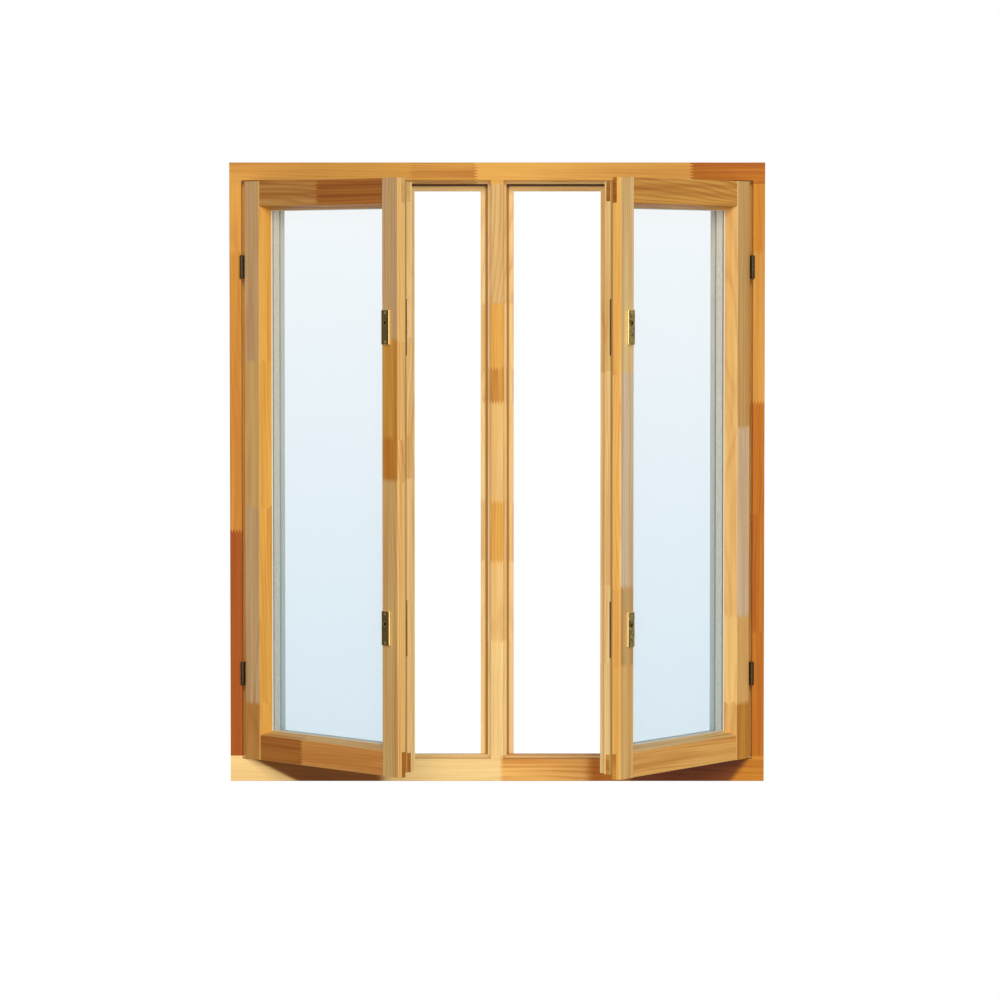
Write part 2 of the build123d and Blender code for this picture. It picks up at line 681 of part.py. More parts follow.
def build_sash():
    """Every piece of the left sash, closed, as name to list of solids."""
    parts = {}
    blanks = [
        upright(
            member_section(edge, 0, STILE_ARRIS, BACK_INSET), SASH_BOTTOM, SASH_TOP
        ) & sash_envelope()
        for edge in (hinge_u, lock_u)
    ]
    tenons = []
    rails = (
        ("rail_bottom", lambda v: SASH_BOTTOM + v, BODY_INSET),
        ("rail_top", lambda v: SASH_TOP - v, BACK_INSET),
    )
    for name, place, back_inset in rails:
        rail, shared = build_rail(place, back_inset, blanks)
        parts[name] = [rail]
        tenons += shared
    hinge_stile, lock_stile = blanks
    for tenon in tenons:
        hinge_stile -= tenon
        lock_stile -= tenon

    screws = []
    for z, level in zip(HINGE_HEIGHTS, LEVELS):
        hinge_stile -= hinge_recess(z, SASH_HINGE, 1)
        parts[f"hinge_{level}"] = [build_hinge_half(z, SASH_HINGE, 1)]
        for place in hinge_screw_places(z, SASH_HINGE, 1):
            hinge_stile -= screw_body(FITTING_SCREW, *place)
            screws.append(screw(FITTING_SCREW, *place))

    parts["catch_cases"] = []
    for z, level in zip(CATCH_HEIGHTS, LEVELS):
        lock_stile -= kerf_disc(z, KERF_FRONT, KERF_FRONT + KERF_WIDTH)
        lock_stile -= hub_rod(z, HUB_RADIUS + HUB_BORE_CLEAR, -OVERCUT, KERF_FRONT + OVERCUT)
        parts[f"catch_plate_{level}"] = [build_plate(z)]
        parts["catch_cases"].append(build_case(z))
        parts[f"tongue_{level}"] = [build_tongue(z)]
        parts[f"hub_{level}"] = [build_hub(z)]
        for place in plate_screw_places(z):
            lock_stile -= screw_body(FITTING_SCREW, *place)
            screws.append(screw(FITTING_SCREW, *place))

    parts["stile_hinge"] = [hinge_stile]
    parts["stile_lock"] = [lock_stile]
    parts["screws"] = screws

    glass_edge = REBATE + BLOCK_THICKNESS
    cavity_front, cavity_back = GLASS_SETBACK + PANE, GLASS_BACK - PANE
    parts["pane_room"] = [sash_block(glass_edge, GLASS_SETBACK, cavity_front)]
    parts["pane_outer"] = [sash_block(glass_edge, cavity_back, GLASS_BACK)]
    sealant_edge = glass_edge + SEALANT_WIDTH
    parts["glass_sealant"] = [ring(glass_edge, sealant_edge, cavity_front, cavity_back)]
    parts["glass_spacer"] = [
        ring(sealant_edge, sealant_edge + SPACER_WIDTH, cavity_front, cavity_back)
    ]
    parts["setting_blocks"] = build_blocks()
    parts["glazing_beads"] = build_beads()
    return parts


def build_frame():
    """Every fixed piece, as name to list of solids."""
    head, sill = build_head(), build_sill()
    tenons = frame_tenons()
    jamb = build_jamb_left() - head - sill
    mullion = build_mullion() - head - sill
    members = {"left": jamb, "mullion": mullion, "right": mirrored(jamb)}
    for name, (low, high) in tenons.items():
        members[name] = members[name] + low + high
        head -= high
        sill -= low

    corner_screws = []
    for place in frame_screw_places():
        body = screw_body(FRAME_SCREW, *place)
        head -= body
        sill -= body
        members = {name: member - body for name, member in members.items()}
        corner_screws.append(screw(FRAME_SCREW, *place))

    jamb_cuts, fitting_screws = fixing_holes(), []
    parts = {}
    pins = []
    for z, level in zip(HINGE_HEIGHTS, LEVELS):
        jamb_cuts.append(hinge_recess(z, -JAMB_EDGE, -1))
        half = build_hinge_half(z, -JAMB_EDGE, -1)
        parts[f"hinge_frame_half_left_{level}"] = [half]
        parts[f"hinge_frame_half_right_{level}"] = [mirrored(half)]
        pins += [build_hinge_pin(z), mirrored(build_hinge_pin(z))]
        for place in hinge_screw_places(z, -JAMB_EDGE, -1):
            jamb_cuts.append(screw_body(FITTING_SCREW, *place))
            fixed = screw(FITTING_SCREW, *place)
            fitting_screws += [fixed, mirrored(fixed)]

    strike_cuts = []
    for z, level in zip(CATCH_HEIGHTS, LEVELS):
        strike_cuts += [strike_blank(z), strike_slot(z, STRIKE_MORTISE)]
        parts[f"strike_left_{level}"] = [build_strike(z)]
        parts[f"strike_right_{level}"] = [mirrored(build_strike(z))]
        for place in strike_screw_places(z):
            strike_cuts.append(screw_body(STRIKE_SCREW, *place))
            fixed = screw(STRIKE_SCREW, *place)
            fitting_screws += [fixed, mirrored(fixed)]

    for cut in jamb_cuts:
        members["left"] -= cut
        members["right"] -= mirrored(cut)
    for cut in strike_cuts:
        members["mullion"] = members["mullion"] - cut - mirrored(cut)

    parts["frame_head"] = [head]
    parts["frame_sill"] = [sill]
    parts["frame_jamb_left"] = [members["left"]]
    parts["frame_jamb_right"] = [members["right"]]
    parts["frame_mullion"] = [members["mullion"]]
    parts["frame_corner_screws"] = corner_screws
    parts["frame_fitting_screws"] = fitting_screws
    parts["hinge_pins"] = pins
    stop_seal = build_stop_seal()
    parts["seal_stop_left"] = [stop_seal]
    parts["seal_stop_right"] = [mirrored(stop_seal)]
    parts["seal_sill"] = [build_sill_seal(), mirrored(build_sill_seal())]
    return parts


def turned_open(shape, side):
    """A closed piece of the left (-1) or right (1) sash, swung open about its pins."""
    axis = Axis((side * -AXIS_X, depth(AXIS_SETBACK), 0), (0, 0, 1))
    angle = -OPEN_LEFT if side < 0 else OPEN_RIGHT
    return shape.rotate(axis, angle)


def write(name, solids):
    flat = [solid for shape in solids for solid in shape.solids()]
    export_step(flat[0] if len(flat) == 1 else Compound(children=flat), f"parts/{name}.step")


os.makedirs("parts", exist_ok=True)
nodes = build_frame()
for piece, solids in build_sash().items():
    nodes[f"sash_left_{piece}"] = [turned_open(solid, -1) for solid in solids]
    nodes[f"sash_right_{piece}"] = [turned_open(mirrored(solid), 1) for solid in solids]
for name, solids in nodes.items():
    write(name, solids)
print(len(nodes), "nodes")
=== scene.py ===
import json
import math

import bpy
from mathutils import Matrix, Vector


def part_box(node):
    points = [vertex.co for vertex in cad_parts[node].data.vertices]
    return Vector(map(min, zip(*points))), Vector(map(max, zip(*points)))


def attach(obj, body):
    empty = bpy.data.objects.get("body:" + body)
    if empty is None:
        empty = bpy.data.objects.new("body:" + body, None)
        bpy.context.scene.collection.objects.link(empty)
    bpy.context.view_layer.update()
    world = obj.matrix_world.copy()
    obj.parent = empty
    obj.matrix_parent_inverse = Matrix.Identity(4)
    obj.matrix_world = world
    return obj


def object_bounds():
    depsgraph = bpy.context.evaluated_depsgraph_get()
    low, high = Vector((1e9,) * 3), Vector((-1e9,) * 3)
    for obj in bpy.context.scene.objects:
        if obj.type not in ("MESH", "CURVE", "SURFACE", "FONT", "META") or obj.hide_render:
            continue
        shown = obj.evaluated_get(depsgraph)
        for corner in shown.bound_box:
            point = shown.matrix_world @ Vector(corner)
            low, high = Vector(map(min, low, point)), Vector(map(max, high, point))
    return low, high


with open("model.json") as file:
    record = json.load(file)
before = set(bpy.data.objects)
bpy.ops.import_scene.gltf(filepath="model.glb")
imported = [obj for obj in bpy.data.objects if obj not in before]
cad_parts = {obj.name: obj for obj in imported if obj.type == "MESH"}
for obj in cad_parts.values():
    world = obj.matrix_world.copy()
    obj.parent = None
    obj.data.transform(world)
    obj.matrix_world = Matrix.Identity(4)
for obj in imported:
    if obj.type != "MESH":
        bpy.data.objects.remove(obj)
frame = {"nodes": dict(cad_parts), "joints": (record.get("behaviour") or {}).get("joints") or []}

bl_info = {
    "name": "Pine casement window",
    "version": (1, 0, 0),
    "blender": (4, 5, 0),
    "location": "View3D > Sidebar > Window",
    "description": "Finishes, glazing line and studio for a two-light pine casement window",
    "category": "Object",
}

CAD_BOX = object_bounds()
MM = 0.001
SIDES = ("left", "right")
LEVELS = ("lower", "upper")
LAMELLA_JOINT = CAD_BOX[1].y - 70 * MM  # glue line between the front and the next lamella, drawn pale on the head and mullion as painted light
CORNER_DEPTH = CAD_BOX[1].y - 60 * MM  # end of the painted shade line behind the sash's lip
SILL_FACE_TOP = CAD_BOX[0].z + 50 * MM  # top of the sill's room face
SENSOR = 36  # width of the camera's sensor in millimetres
FLOOR_SIZE = (14, 7)  # metres
JOINTS = {joint["name"]: joint for joint in frame["joints"]}
SWINGS = {side: JOINTS[f"sash_{side}_swing"] for side in SIDES}


def shade(code):
    """A linear colour from an sRGB hex code."""
    parts = [int(code[i:i + 2], 16) / 255 for i in (1, 3, 5)]
    return tuple(p / 12.92 if p <= 0.04045 else ((p + 0.055) / 1.055) ** 2.4 for p in parts)


# --- what a user would change ----------------------------------------------
def tone(label, code):
    """A colour property for one tone of the timber."""
    return bpy.props.FloatVectorProperty(
        name=label, description=f"{label} pine, as varnished", subtype="COLOR",
        size=3, min=0.0, max=1.0, default=shade(code),
    )


class TimberTones(bpy.types.PropertyGroup):
    """The colours of the pine blocks that the members are laminated from."""
    cream: tone("Cream", "#f6d28c")
    straw: tone("Straw", "#edc076")
    honey: tone("Honey", "#e4aa4e")
    gold: tone("Gold", "#d69b41")
    amber: tone("Amber", "#cd8722")
    copper: tone("Copper", "#c0730e")
    rust: tone("Rust", "#a85306")
    umber: tone("Umber", "#b06f28")
    tan: tone("Tan", "#c48f49")
    ochre: tone("Ochre", "#cd8c32")
    dun: tone("Dun", "#d9b170")
    # dark tone for the painted shadow below the open sashes on the sill
    bark: tone("Bark", "#7c3e02")
    bisque: tone("Bisque", "#ead2ae")
    russet: tone("Russet", "#c4780e")
    apricot: tone("Apricot", "#f6be66")
    linen: tone("Linen", "#f4d494")
    caramel: tone("Caramel", "#dc9c50")
    # dark tone for the painted shadow below the open sashes on the sill
    peat: tone("Peat", "#864e04")
    pale: tone("Pale", "#efe4cc")
    sand: tone("Sand", "#d3b180")
    ring_pitch: bpy.props.FloatProperty(
        name="Ring pitch", description="Spacing of the growth rings", default=7.5 * MM, unit="LENGTH")
    finger_pitch: bpy.props.FloatProperty(
        name="Finger pitch", description="Spacing of the finger joints' fingers", default=6.5 * MM,
        unit="LENGTH")
    finger_length: bpy.props.FloatProperty(
        name="Finger length", description="Length of the finger joints' fingers", default=11 * MM,
        unit="LENGTH")


class GlassSettings(bpy.types.PropertyGroup):
    """The glass and the line of sealant round it."""
    # the glass's cast blends from bottom to top as a painted reflection
    top: bpy.props.FloatVectorProperty(
        name="Upper glass", description="Cast of the glass near its top", subtype="COLOR",
        default=shade("#78daff"))
    bottom: bpy.props.FloatVectorProperty(
        name="Lower glass", description="Cast of the glass near its bottom", subtype="COLOR",
        default=shade("#5ed4ff"))
    line_width: bpy.props.FloatProperty(
        name="Sealant width", description="Width of the sealant line on the glass", default=2.2 * MM,
        unit="LENGTH")


class StudioSettings(bpy.types.PropertyGroup):
    """Camera, floor and light."""
    camera_place: bpy.props.FloatVectorProperty(
        name="Camera", description="Place of the camera", subtype="XYZ", unit="LENGTH",
        default=(0.0063, -10.645, 1.130))
    camera_pitch: bpy.props.FloatProperty(
        name="Pitch", description="How far the camera looks down", subtype="ANGLE",
        default=math.radians(2.681))
    lens: bpy.props.FloatProperty(
        name="Lens", description=f"Focal length on a {SENSOR} mm sensor, in millimetres", default=170.1)
    floor_height: bpy.props.FloatProperty(
        name="Floor", description="Height of the floor below the sill", default=-0.85, unit="LENGTH")
    key_strength: bpy.props.FloatProperty(
        name="Key light", description="Strength of the soft key light", default=1.3)
    front_strength: bpy.props.FloatProperty(
        name="Front light", description="Strength of the wide light level with the window", default=1.6)
    fill_strength: bpy.props.FloatProperty(
        name="Fill light", description="Strength of the room's even light", default=0.18)


def settings():
    """The scene that holds the groups of settings."""
    return bpy.context.scene


# --- node helper -----------------------------------------------------------
def add(tree, kind, given=None, out=0, **traits):
    """Adds a node with its traits set and its inputs linked or filled, and returns one output."""
    node = tree.nodes.new(kind)
    for name, value in traits.items():
        setattr(node, name, value)
    for key, value in (given or {}).items():
        if isinstance(value, bpy.types.NodeSocket):
            tree.links.new(value, node.inputs[key])
        elif isinstance(value, tuple) and len(value) == 3 and node.inputs[key].type == "RGBA":
            node.inputs[key].default_value = (*value, 1.0)
        else:
            node.inputs[key].default_value = value
    return node.outputs[out] if len(node.outputs) else node


def new_material(name):
    """An empty node material with its shader's output node."""
    material = bpy.data.materials.new(name)
    material.use_nodes = True
    material.node_tree.nodes.clear()
    return material, material.node_tree


def finish_material(tree, **sockets):
    """One Principled shader with the given sockets, joined to the output."""
    given = {name.replace("_", " ").title().replace("Ior", "IOR"): value for name, value in sockets.items()}
    surface = add(tree, "ShaderNodeBsdfPrincipled", given)
    add(tree, "ShaderNodeOutputMaterial", {"Surface": surface})


def dress(material, *names):
    """Gives CAD nodes a material in all their slots."""
    for name in names:
        node = frame["nodes"][name]
        if not node.material_slots:
            node.data.materials.append(material)
        for held in node.material_slots:
            held.material = material


# --- the sashes' own directions --------------------------------------------
def closing(side):
    """The turn that closes a sash from the way it stands, as a matrix."""
    swing = SWINGS[side]
    angle = math.radians(swing["range_deg"][0]) * swing["axis"][2]
    pin = Matrix.Translation(Vector(swing["pos_m"]))
    return pin @ Matrix.Rotation(angle, 4, "Z") @ pin.inverted()


def closed_box(side, piece):
    """Lowest and highest corner of a sash's piece with the sash closed."""
    turn = closing(side)
    places = [turn @ v.co for v in frame["nodes"][f"sash_{side}_{piece}"].data.vertices]
    return [Vector([pick(p[i] for p in places) for i in range(3)]) for pick in (min, max)]


def place_of(tree, side=None):
    """Object coordinates, turned back to the closed sash for a sash's piece."""
    place = add(tree, "ShaderNodeTexCoord", out=3)
    if side is None:
        return place
    turn = closing(side)
    return add(tree, "ShaderNodeMapping", {
        "Vector": place, "Location": turn.to_translation(), "Rotation": Vector(turn.to_euler()),
    })


# --- timber ----------------------------------------------------------------
# The grain's noises: cycles per metre across and along it, detail and roughness.
GRAIN = {
    "sway": (7.0, 0.8, 2.0, 0.5),  # wander of the rings, 140 mm across and 1.2 m along
    "broad": (55.0, 1.6, 2.0, 0.5),  # darker bands, 18 mm and 600 mm
    "fibre": (330.0, 9.0, 3.0, 0.6),  # bundles of fibres, drawn coarse at 3 mm and 110 mm
    "drift": (16.0, 2.4, 2.0, 0.5),  # change over the board, 60 mm and 400 mm
}


def block_tones(tree, split, blocks, upright, painted_shadow):
    """The tone of each block along a member and the strength of its grain, as two outputs."""
    tones = settings().timber_tones
    across, along = (split.outputs[axis] for axis in ((0, 2) if upright else (2, 0)))
    start = blocks[0][0]
    length = blocks[-1][0] - start
    if painted_shadow:
        # the ends of the painted shadow lean, as the edge of a sash's shadow does
        down = add(tree, "ShaderNodeMath", {0: SILL_FACE_TOP, 1: across}, operation="SUBTRACT")
        left = add(tree, "ShaderNodeMapRange", {0: along, 1: -0.35, 2: -0.25, 3: -2.0, 4: 0.0})
        right = add(tree, "ShaderNodeMapRange", {0: along, 1: 0.25, 2: 0.35, 3: 0.0, 4: 0.8})
        lean = add(tree, "ShaderNodeMath", {0: left, 1: right}, operation="ADD")
        border = add(tree, "ShaderNodeMath", {0: down, 1: lean, 2: along}, operation="MULTIPLY_ADD")
    else:
        # fingers: a triangle wave across the face moves the border of each block
        finger = add(tree, "ShaderNodeMath", {0: across, 1: tones.finger_pitch / 2}, operation="PINGPONG")
        steep = 2 * tones.finger_length / tones.finger_pitch
        border = add(tree, "ShaderNodeMath", {0: finger, 1: steep, 2: along}, operation="MULTIPLY_ADD")
    share = add(tree, "ShaderNodeMapRange", {0: border, 1: start, 2: start + length, 3: 0.0, 4: 1.0})
    ramp = add(tree, "ShaderNodeValToRGB", {0: share}).node
    bands = ramp.color_ramp
    bands.interpolation = "EASE" if painted_shadow else "CONSTANT"
    last = start
    for index, (end, tint, strength) in enumerate(blocks[1:]):
        position = (last - start) / length
        stop = bands.elements[0] if index == 0 else bands.elements.new(position)
        stop.position = position
        stop.color = (*getattr(tones, tint), strength)
        last = end
    bands.elements.remove(bands.elements[-1])
    return ramp.outputs[0], ramp.outputs[1]


def other_faces(tree, wood, split, upright, side, lit_flank, inner):
    """The tone of the blocks, with a warmer tone on the faces turned across the member as
    painted light, and the inner tone on the lamella behind the front one."""
    tones = settings().timber_tones
    # painted light: the faces turned across the member get a warmer tone
    if lit_flank:
        across_member = Vector((1, 0, 0) if upright else (0, 0, 1))
        facing = closing(side).inverted().to_3x3() @ across_member
        normal = add(tree, "ShaderNodeTexCoord", out=1)
        lean = add(tree, "ShaderNodeVectorMath", {0: normal, 1: facing}, out=1, operation="DOT_PRODUCT")
        turned = add(tree, "ShaderNodeMath", {0: lean}, operation="ABSOLUTE")
        share = add(tree, "ShaderNodeMapRange", {0: turned, 1: 0.35, 2: 0.6})
        wood = add(tree, "ShaderNodeMix", {0: share, 6: wood, 7: tuple(getattr(tones, lit_flank))}, out=2,
                   data_type="RGBA")
    # the lamella behind the front one; on the head and mullion its pale tone is painted light in the
    # rebates
    if inner:
        behind = add(tree, "ShaderNodeMapRange", {
            0: split.outputs[1], 1: LAMELLA_JOINT - 0.5 * MM, 2: LAMELLA_JOINT + 0.5 * MM,
            3: 0.0, 4: 0.85})
        wood = add(tree, "ShaderNodeMix", {0: behind, 6: wood, 7: tuple(getattr(tones, inner))},
                   out=2, data_type="RGBA")
    return wood


def painted_corner_shade(tree, colour, split, corner):
    """The colour with a fine painted shade line along a lock edge, in the corner behind the sash's lip."""
    off = add(tree, "ShaderNodeMath", {0: split.outputs[0], 1: corner}, operation="SUBTRACT")
    away = add(tree, "ShaderNodeMath", {0: off}, operation="ABSOLUTE")
    near = add(tree, "ShaderNodeMapRange", {0: away, 1: 0.4 * MM, 2: 0.9 * MM, 3: 1.0, 4: 0.0})
    into = add(tree, "ShaderNodeMapRange", {
        0: split.outputs[1], 1: CORNER_DEPTH, 2: CORNER_DEPTH + 3 * MM, 3: 0.6, 4: 0.0})
    line = add(tree, "ShaderNodeMath", {0: near, 1: into}, operation="MULTIPLY")
    return add(tree, "ShaderNodeMix", {0: line, 6: colour, 7: shade("#8a5a1c")}, out=2,
               data_type="RGBA")


def pine(name, blocks, upright=True, side=None, lit_flank=None, inner=None, corner=None, painted_shadow=False):
    """Scots pine, laminated and finger-jointed, sanded and satin varnished: warm even
    earlywood with darker latewood lines along the length, blocks of other boards that
    meet in zig-zag joints, fine fibres that catch the light under a thin clear coat.
    blocks are (end along the length in metres, tone, strength of the grain); lit_flank is the
    tone of the faces turned across the member, a warmer tone that is painted light on the reveals
    and lip edges; inner is the tone of the lamella behind the lip, pale on the head and mullion as
    painted light in their rebates; corner is the X of a lock edge, closed, which has a painted shade
    line in the corner behind the lip; painted_shadow blends the tones, with leaning ends, into a
    painted shadow below each open sash on the sill."""
    tones = settings().timber_tones
    material, tree = new_material(name)
    place = place_of(tree, side)
    split = add(tree, "ShaderNodeSeparateXYZ", {0: place}).node
    wood, strength = block_tones(tree, split, blocks, upright, painted_shadow)
    board = tuple(tones.cream) if painted_shadow else wood
    chance = add(tree, "ShaderNodeTexWhiteNoise", {0: board}, out=1, noise_dimensions="3D")
    wood = other_faces(tree, wood, split, upright, side, lit_flank, inner)

    # each block is another board, so its rings have another centre and lean
    centre = add(tree, "ShaderNodeVectorMath", {0: chance, 1: (0.9, 0.9, 0.9), 2: place},
                 operation="MULTIPLY_ADD")
    noise = {}
    for kind, (wide, long, detail, roughness) in GRAIN.items():
        size = (wide, wide, long) if upright else (long, wide, wide)
        drawn = add(tree, "ShaderNodeVectorMath", {0: centre, 1: size}, operation="MULTIPLY")
        noise[kind] = add(tree, "ShaderNodeTexNoise", {
            "Vector": drawn, "Scale": 1.0, "Detail": detail, "Roughness": roughness})

    # growth rings: the distance from the board's centre, swayed, with latewood at each ring's end
    flat = add(tree, "ShaderNodeVectorMath", {0: centre, 1: (1, 1, 0) if upright else (0, 1, 1)},
               operation="MULTIPLY")
    reach = add(tree, "ShaderNodeVectorMath", {0: flat}, out=1, operation="LENGTH")
    swayed = add(tree, "ShaderNodeMath", {0: noise["sway"], 1: 0.14, 2: reach}, operation="MULTIPLY_ADD")
    year = add(tree, "ShaderNodeMath", {0: swayed, 1: tones.ring_pitch}, operation="DIVIDE")
    ring = add(tree, "ShaderNodeMath", {0: year}, operation="FRACT")
    late = add(tree, "ShaderNodeValToRGB", {0: ring}).node
    late.color_ramp.interpolation = "B_SPLINE"
    for element, (position, value) in zip(late.color_ramp.elements, ((0.0, 0.25), (1.0, 0.2))):
        element.position = position
        element.color = (value, value, value, 1)
    for position, value in ((0.35, 0.0), (0.7, 0.5), (0.86, 1.0)):
        late.color_ramp.elements.new(position).color = (value, value, value, 1)
    # the lines are strong on some of a board and nearly gone on the rest
    patch = add(tree, "ShaderNodeMapRange", {0: noise["drift"], 1: 0.35, 2: 0.65, 3: 0.25, 4: 1.0})
    lined = add(tree, "ShaderNodeMath", {0: late.outputs[0], 1: patch}, operation="MULTIPLY")
    depth = add(tree, "ShaderNodeMath", {0: lined, 1: strength}, operation="MULTIPLY")
    band = add(tree, "ShaderNodeMapRange", {0: noise["broad"], 1: 0.42, 2: 0.68, 3: 0.0, 4: 0.85})
    banded = add(tree, "ShaderNodeMath", {0: band, 1: strength}, operation="MULTIPLY")
    streak = add(tree, "ShaderNodeMapRange", {0: noise["fibre"], 1: 0.35, 2: 0.7, 3: 0.0, 4: 0.22})

    # lines, bands and fibres darken the wood in turn, and then it drifts a little in lightness
    colour = wood
    for share, code in ((depth, "#c79c5c"), (banded, "#d6b078"), (streak, "#dcbc8c")):
        colour = add(tree, "ShaderNodeMix", {0: share, 6: colour, 7: shade(code)}, out=2,
                     data_type="RGBA", blend_type="MULTIPLY")
    change = add(tree, "ShaderNodeMapRange", {0: noise["drift"], 1: 0.3, 2: 0.7, 3: 0.96, 4: 1.05})
    colour = add(tree, "ShaderNodeVectorMath", {0: colour, "Scale": change}, operation="SCALE")
    # a painted shade line in the corner behind the lip
    if corner is not None:
        colour = painted_corner_shade(tree, colour, split, corner)

    height = add(tree, "ShaderNodeMath", {0: depth, 1: 0.5, 2: noise["fibre"]}, operation="MULTIPLY_ADD")
    bump = add(tree, "ShaderNodeBump", {"Height": height, "Strength": 0.25, "Distance": 0.12 * MM})
    gloss = add(tree, "ShaderNodeMapRange", {0: noise["fibre"], 1: 0.2, 2: 0.8, 3: 0.38, 4: 0.5})
    finish_material(tree, base_color=colour, roughness=gloss, specular_ior_level=0.1,
                    coat_weight=0.04, coat_roughness=0.25, normal=bump)
    return material


class WINDOW_OT_frame_timber(bpy.types.Operator):
    """Finishes the outer frame's five pine bars."""
    bl_idname = "window.frame_timber"
    bl_label = "Frame timber"

    def execute(self, context):
        head = [(-0.60,), (-0.375, "gold", 0.75), (-0.19, "gold", 0.45), (-0.045, "gold", 1.0),
                (0.10, "honey", 0.35), (0.44, "honey", 0.5), (0.60, "copper", 0.9)]
        # drawn darker below each open sash, in place of its deep shadow: it stays at every pose
        sill = [(-0.60,), (-0.56, "cream", 0.2), (-0.54, "cream", 0.2), (-0.29, "peat", 0.5),
                (-0.23, "peat", 0.5), (0.008, "cream", 0.18), (0.011, "cream", 0.18),
                (0.19, "apricot", 0.95), (0.22, "apricot", 0.95), (0.25, "copper", 0.9),
                (0.30, "amber", 0.95), (0.33, "amber", 0.9), (0.555, "bark", 0.7),
                (0.575, "bark", 0.7), (0.60, "amber", 0.6)]
        left = [(0.0,), (0.57, "rust", 0.6), (1.19, "ochre", 0.5), (1.39, "gold", 0.4)]
        right = [(0.0,), (0.338, "copper", 0.5), (0.608, "russet", 0.8), (0.855, "copper", 0.8),
                 (1.193, "gold", 0.5), (1.39, "amber", 0.5)]
        mullion = [(0.0,), (0.315, "cream", 0.3), (0.495, "straw", 0.4), (0.63, "honey", 0.6),
                   (0.855, "straw", 0.4), (0.93, "gold", 0.7), (1.08, "honey", 0.5), (1.39, "dun", 0.5)]
        # the head's and mullion's inner lamella is drawn pale, as painted light in their rebates, which lie
        # in shade
        dress(pine("pine head, satin varnished", head, upright=False, inner="cream"), "frame_head")
        # the sill blends its tones into a painted shadow below each open sash
        dress(pine("pine sill, satin varnished", sill, upright=False, painted_shadow=True), "frame_sill")
        dress(pine("pine left jamb, satin varnished", left, inner="honey"), "frame_jamb_left")
        dress(pine("pine right jamb, satin varnished", right, inner="honey"), "frame_jamb_right")
        dress(pine("pine mullion, satin varnished", mullion, inner="cream"), "frame_mullion")
        return {"FINISHED"}


class WINDOW_OT_sash_timber(bpy.types.Operator):
    """Finishes the stiles, rails and beads of both sashes."""
    bl_idname = "window.sash_timber"
    bl_label = "Sash timber"

    def execute(self, context):
        beads = [(0.0,), (1.39, "pale", 0.2)]
        members = {
            "left": {
                "stile_hinge": [(0.0,), (0.18, "tan", 0.5), (0.62, "sand", 0.55), (0.95, "dun", 0.4),
                                (1.39, "sand", 0.45)],
                "stile_lock": [(0.0,), (0.70, "dun", 0.5), (0.79, "ochre", 0.7), (1.0, "gold", 0.6),
                               (1.39, "sand", 0.5)],
                "rail_top": [(-0.60,), (-0.30, "tan", 0.9), (-0.06, "umber", 0.8), (0.0, "dun", 0.4)],
                "rail_bottom": [(-0.60,), (-0.36, "umber", 0.8), (-0.06, "caramel", 0.6),
                                (0.0, "umber", 0.5)],
                "glazing_beads": beads,
            },
            "right": {
                "stile_hinge": [(0.0,), (0.18, "gold", 0.6), (0.38, "straw", 0.4), (0.80, "bisque", 0.5),
                                (1.39, "dun", 0.5)],
                "stile_lock": [(0.0,), (0.30, "straw", 0.45), (0.47, "dun", 0.5), (0.93, "bisque", 0.5),
                               (1.39, "linen", 0.6)],
                "rail_top": [(0.0,), (0.06, "umber", 0.8), (0.60, "honey", 1.0)],
                "rail_bottom": [(0.0,), (0.06, "gold", 0.8), (0.60, "apricot", 0.9)],
                "glazing_beads": beads,
            },
        }
        # warmer tones on the faces turned across each member: painted light on the reveals and lip edges
        lit_flanks = {
            "left": {"stile_hinge": "honey", "stile_lock": "straw", "rail_top": "gold",
                     "rail_bottom": "straw"},
            "right": {"stile_hinge": "straw", "stile_lock": "apricot", "rail_top": "honey",
                      "rail_bottom": "cream"},
        }
        for side, pieces in members.items():
            low, high = closed_box(side, "catch_cases")
            lock_edge = min(low.x, high.x, key=abs)
            for piece, blocks in pieces.items():
                name = f"pine {side} {piece.replace('_', ' ')}, satin varnished"
                upright = not piece.startswith("rail")
                inner, corner = ("linen", lock_edge) if piece == "stile_lock" else (None, None)
                lit_flank = lit_flanks[side].get(piece)
                dress(pine(name, blocks, upright, side, lit_flank, inner, corner), f"sash_{side}_{piece}")
        return {"FINISHED"}


# --- glazing ---------------------------------------------------------------
def float_glass(name, low, high):
    """Float glass, drawn flat: smooth, clear with a cool cast, and a painted reflection in place of
    the room that it would mirror: a little milky, paler towards the top."""
    glass = settings().glass_settings
    material, tree = new_material(name)
    place = add(tree, "ShaderNodeTexCoord", out=3)
    height = add(tree, "ShaderNodeSeparateXYZ", {0: place}, out=2)
    share = add(tree, "ShaderNodeMapRange", {0: height, 1: low, 2: high, 3: 0.0, 4: 1.0})
    cast = add(tree, "ShaderNodeMix", {0: share, 6: tuple(glass.bottom), 7: tuple(glass.top)},
               out=2, data_type="RGBA")
    # painted reflection: more milky towards the bottom and paler at the top
    reflection_milk = add(tree, "ShaderNodeMapRange", {0: share, 3: 0.105, 4: 0.035})
    finish_material(tree, base_color=cast, roughness=0.02, ior=1.52, alpha=reflection_milk)
    return material


def brushed(name, code, worn, roughness, metallic=1.0):
    """Rolled or pressed metal with a cloudy patina of two near shades, in clouds of 4.5 mm."""
    material, tree = new_material(name)
    place = add(tree, "ShaderNodeTexCoord", out=3)
    cloud = add(tree, "ShaderNodeTexNoise", {"Vector": place, "Scale": 220.0, "Detail": 4.0})
    share = add(tree, "ShaderNodeMapRange", {0: cloud, 1: 0.35, 2: 0.65})
    colour = add(tree, "ShaderNodeMix", {0: share, 6: shade(code), 7: shade(worn)}, out=2,
                 data_type="RGBA")
    rough = add(tree, "ShaderNodeMapRange", {
        0: cloud, 1: 0.3, 2: 0.7, 3: roughness - 0.07, 4: roughness + 0.1})
    bump = add(tree, "ShaderNodeBump", {"Height": cloud, "Strength": 0.1, "Distance": 0.05 * MM})
    finish_material(tree, base_color=colour, roughness=rough, metallic=metallic, normal=bump)
    return material


